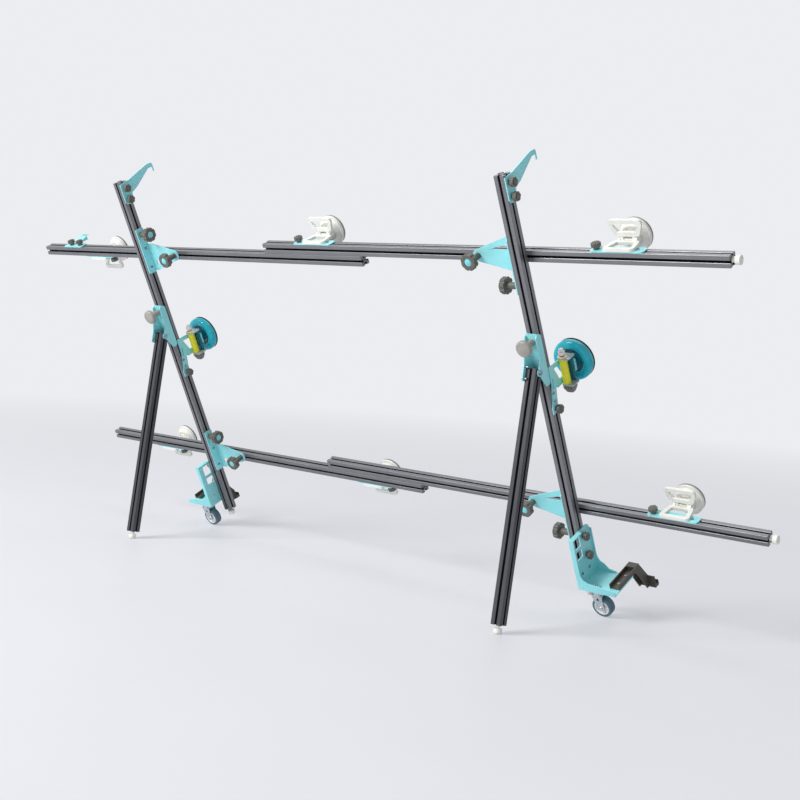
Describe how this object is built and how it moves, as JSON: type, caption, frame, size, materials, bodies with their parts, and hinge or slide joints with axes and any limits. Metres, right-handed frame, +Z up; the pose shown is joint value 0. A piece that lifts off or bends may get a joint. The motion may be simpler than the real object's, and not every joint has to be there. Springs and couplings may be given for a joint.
{
  "type": "slab trolley",
  "caption": "Folding slab trolley of black slotted profiles on casters, with sliding cross rails, rear legs, hooks, slab rests, suction lifters and pump cups.",
  "frame": {"origin": "on the floor, at the middle of the trolley's length and depth", "axes": "+X along the rails to the operator's right, +Y from the operator to the slab, +Z up"},
  "size_m": [3.432, 0.9236, 1.6102],
  "materials": {
    "black_profile": "black anodised, satin",
    "teal_sheet": "powder coat, satin",
    "rest_paint": "dark powder coat, matt",
    "cup_plastic": "glossy",
    "pump_yellow": "glossy",
    "white_plastic": "smooth",
    "knob_plastic": "matt",
    "bolt_steel": "zinc plated",
    "zinc_plate": "bright zinc",
    "wheel_tread": "smooth"
  },
  "bodies": {
    "left_frame": {"left_upright": "black_profile", "left_upper_rail": "black_profile", "left_lower_rail": "black_profile", "left_corner_brackets": "teal_sheet", "left_leg_bracket": "teal_sheet", "left_foot_bracket": "teal_sheet", "left_slab_rest": "rest_paint", "left_vacuum_bracket": "teal_sheet", "left_vacuum_cup": "cup_plastic", "left_pump_barrel": "pump_yellow", "left_fasteners": "bolt_steel", "left_lifter_plates": "teal_sheet", "left_lifter_bases": "white_plastic", "left_end_feet": "white_plastic"},
    "right_frame": {"right_upright": "black_profile", "right_upper_rail": "black_profile", "right_lower_rail": "black_profile", "right_corner_brackets": "teal_sheet", "right_leg_bracket": "teal_sheet", "right_foot_bracket": "teal_sheet", "right_slab_rest": "rest_paint", "right_vacuum_bracket": "teal_sheet", "right_vacuum_cup": "cup_plastic", "right_pump_barrel": "pump_yellow", "right_fasteners": "bolt_steel", "right_lifter_plates": "teal_sheet", "right_lifter_bases": "white_plastic", "right_end_feet": "white_plastic"},
    "left_leg_body": {"left_leg": "black_profile", "left_leg_foot": "white_plastic"},
    "left_caster_body": {"left_caster_fork": "zinc_plate"},
    "left_wheel_body": {"left_caster_wheel": "wheel_tread"},
    "left_hook_body": {"left_hook": "teal_sheet", "left_hook_knobs": "knob_plastic"},
    "left_plunger_body": {"left_pump_plunger": "white_plastic"},
    "left_upper_rail_knob_body": {"left_upper_rail_knob": "knob_plastic"},
    "left_lower_rail_knob_body": {"left_lower_rail_knob": "knob_plastic"},
    "left_upper_upright_knob_body": {"left_upper_upright_knob": "knob_plastic"},
    "left_lower_upright_knob_body": {"left_lower_upright_knob": "knob_plastic"},
    "left_leg_knob_body": {"left_leg_knob": "knob_plastic"},
    "right_leg_body": {"right_leg": "black_profile", "right_leg_foot": "white_plastic"},
    "right_caster_body": {"right_caster_fork": "zinc_plate"},
    "right_wheel_body": {"right_caster_wheel": "wheel_tread"},
    "right_hook_body": {"right_hook": "teal_sheet", "right_hook_knobs": "knob_plastic"},
    "right_plunger_body": {"right_pump_plunger": "white_plastic"},
    "right_upper_rail_knob_body": {"right_upper_rail_knob": "knob_plastic"},
    "right_lower_rail_knob_body": {"right_lower_rail_knob": "knob_plastic"},
    "right_upper_upright_knob_body": {"right_upper_upright_knob": "knob_plastic"},
    "right_lower_upright_knob_body": {"right_lower_upright_knob": "knob_plastic"},
    "right_leg_knob_body": {"right_leg_knob": "knob_plastic"},
    "rail_hook_body": {"rail_hook": "teal_sheet", "rail_hook_knobs": "knob_plastic"},
    "left_upper_lever_body": {"left_upper_lever": "white_plastic"},
    "left_lower_outer_lever_body": {"left_lower_outer_lever": "white_plastic"},
    "left_lower_middle_lever_body": {"left_lower_middle_lever": "white_plastic"},
    "right_upper_middle_lever_body": {"right_upper_middle_lever": "white_plastic"},
    "right_upper_outer_lever_body": {"right_upper_outer_lever": "white_plastic"},
    "right_lower_lever_body": {"right_lower_lever": "white_plastic"}
  },
  "joints": [
    {"name": "width", "type": "slide", "parent": "left_frame", "child": "right_frame", "axis": [1, 0, 0], "range_m": [-0.45, 0.35]},
    {"name": "left_leg_fold", "type": "hinge", "parent": "left_frame", "child": "left_leg_body", "pos_m": [-0.986, -0.177, 0.88088], "axis": [1, 0, 0], "range_deg": [0, 34]},
    {"name": "left_caster_swivel", "type": "hinge", "parent": "left_frame", "child": "left_caster_body", "pos_m": [-1.07, 0.21203, 0.10783], "axis": [0, -0.4557, 0.8901], "continuous": true},
    {"name": "left_wheel_spin", "type": "hinge", "parent": "left_caster_body", "child": "left_wheel_body", "pos_m": [-1.06, 0.24621, 0.04107], "axis": [0, 0.8901, 0.4557], "continuous": true},
    {"name": "left_hook_slide", "type": "slide", "parent": "left_frame", "child": "left_hook_body", "axis": [0, -0.4557, 0.8901], "range_m": [-0.09, 0.03]},
    {"name": "left_pump_press", "type": "slide", "parent": "left_frame", "child": "left_plunger_body", "axis": [0, -0.4557, 0.8901], "range_m": [-0.008, 0], "stiffness_N_per_m": 300, "springref_m": 0.004},
    {"name": "left_upper_rail_clamp", "type": "hinge", "parent": "left_frame", "child": "left_upper_rail_knob_body", "pos_m": [-0.808, -0.27867, 1.22496], "axis": [0, -0.8901, -0.4557], "continuous": true},
    {"name": "left_upper_upright_clamp", "type": "hinge", "parent": "left_frame", "child": "left_upper_upright_knob_body", "pos_m": [-0.9617, -0.33783, 1.30476], "axis": [1, 0, 0], "continuous": true},
    {"name": "left_lower_rail_clamp", "type": "hinge", "parent": "left_frame", "child": "left_lower_rail_knob_body", "pos_m": [-0.808, 0.16702, 0.35441], "axis": [0, -0.8901, -0.4557], "continuous": true},
    {"name": "left_lower_upright_clamp", "type": "hinge", "parent": "left_frame", "child": "left_lower_upright_knob_body", "pos_m": [-0.9617, 0.10785, 0.43422], "axis": [1, 0, 0], "continuous": true},
    {"name": "left_leg_bracket_clamp", "type": "hinge", "parent": "left_frame", "child": "left_leg_knob_body", "pos_m": [-0.986, -0.19988, 0.98264], "axis": [0, -0.8901, -0.4557], "continuous": true},
    {"name": "right_leg_fold", "type": "hinge", "parent": "right_frame", "child": "right_leg_body", "pos_m": [0.956, -0.177, 0.88088], "axis": [1, 0, 0], "range_deg": [0, 34]},
    {"name": "right_caster_swivel", "type": "hinge", "parent": "right_frame", "child": "right_caster_body", "pos_m": [1.04, 0.21203, 0.10783], "axis": [0, -0.4557, 0.8901], "continuous": true},
    {"name": "right_wheel_spin", "type": "hinge", "parent": "right_caster_body", "child": "right_wheel_body", "pos_m": [1.05, 0.24621, 0.04107], "axis": [0, 0.8901, 0.4557], "continuous": true},
    {"name": "right_hook_slide", "type": "slide", "parent": "right_frame", "child": "right_hook_body", "axis": [0, -0.4557, 0.8901], "range_m": [-0.09, 0.03]},
    {"name": "right_pump_press", "type": "slide", "parent": "right_frame", "child": "right_plunger_body", "axis": [0, -0.4557, 0.8901], "range_m": [-0.008, 0], "stiffness_N_per_m": 300, "springref_m": 0.004},
    {"name": "right_upper_rail_clamp", "type": "hinge", "parent": "right_frame", "child": "right_upper_rail_knob_body", "pos_m": [0.778, -0.29703, 1.26083], "axis": [0, -0.8901, -0.4557], "continuous": true},
    {"name": "right_upper_upright_clamp", "type": "hinge", "parent": "right_frame", "child": "right_upper_upright_knob_body", "pos_m": [0.9317, -0.26688, 1.16617], "axis": [-1, 0, 0], "continuous": true},
    {"name": "right_lower_rail_clamp", "type": "hinge", "parent": "right_frame", "child": "right_lower_rail_knob_body", "pos_m": [0.778, 0.14865, 0.39028], "axis": [0, -0.8901, -0.4557], "continuous": true},
    {"name": "right_lower_upright_clamp", "type": "hinge", "parent": "right_frame", "child": "right_lower_upright_knob_body", "pos_m": [0.9317, 0.1788, 0.29562], "axis": [-1, 0, 0], "continuous": true},
    {"name": "right_leg_bracket_clamp", "type": "hinge", "parent": "right_frame", "child": "right_leg_knob_body", "pos_m": [0.956, -0.19988, 0.98264], "axis": [0, -0.8901, -0.4557], "continuous": true},
    {"name": "rail_hook_slide", "type": "slide", "parent": "left_frame", "child": "rail_hook_body", "axis": [1, 0, 0], "range_m": [-0.05, 0.05]},
    {"name": "left_upper_suction_lever", "type": "hinge", "parent": "left_frame", "child": "left_upper_lever_body", "pos_m": [-1.345, -0.19073, 1.23313], "axis": [-1, 0, 0], "range_deg": [0, 35]},
    {"name": "left_lower_outer_suction_lever", "type": "hinge", "parent": "left_frame", "child": "left_lower_outer_lever_body", "pos_m": [-1.325, 0.25496, 0.36258], "axis": [-1, 0, 0], "range_deg": [0, 35]},
    {"name": "left_lower_middle_suction_lever", "type": "hinge", "parent": "left_frame", "child": "left_lower_middle_lever_body", "pos_m": [-0.035, 0.25496, 0.36258], "axis": [-1, 0, 0], "range_deg": [0, 35]},
    {"name": "right_upper_middle_suction_lever", "type": "hinge", "parent": "right_frame", "child": "right_upper_middle_lever_body", "pos_m": [0.007, -0.23899, 1.32739], "axis": [1, 0, 0], "range_deg": [0, 35]},
    {"name": "right_upper_outer_suction_lever", "type": "hinge", "parent": "right_frame", "child": "right_upper_outer_lever_body", "pos_m": [1.315, -0.23899, 1.32739], "axis": [1, 0, 0], "range_deg": [0, 35]},
    {"name": "right_lower_suction_lever", "type": "hinge", "parent": "right_frame", "child": "right_lower_lever_body", "pos_m": [1.351, 0.2067, 0.45685], "axis": [1, 0, 0], "range_deg": [0, 35]}
  ]
}
